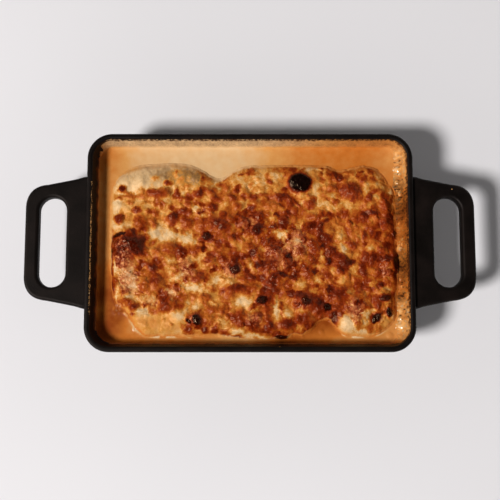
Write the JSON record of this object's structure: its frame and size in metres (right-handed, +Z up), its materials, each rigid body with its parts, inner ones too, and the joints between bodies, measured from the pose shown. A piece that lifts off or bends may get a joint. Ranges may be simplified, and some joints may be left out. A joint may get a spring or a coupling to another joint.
{
  "type": "lasagna in dish",
  "caption": "Baked lasagna with a browned cheese crust and cream sauce round it, in a rectangular cast iron dish with a slotted loop handle at each end.",
  "frame": {"origin": "middle of the dish's flat base", "axes": "+X along the dish, from handle to handle; +Z up out of the dish"},
  "size_m": [0.3086, 0.15, 0.042],
  "materials": {
    "cast_iron": "seasoned black cast iron, fine sand-cast grain, dull satin",
    "sauce": "cream and tomato sauce, glossy with oil",
    "cheese_crust": "melted cheese baked in an oven, browned in spots, oily"
  },
  "bodies": {
    "root": {"dish": "cast_iron", "sauce": "sauce", "lasagna": "cheese_crust"}
  },
  "joints": []
}
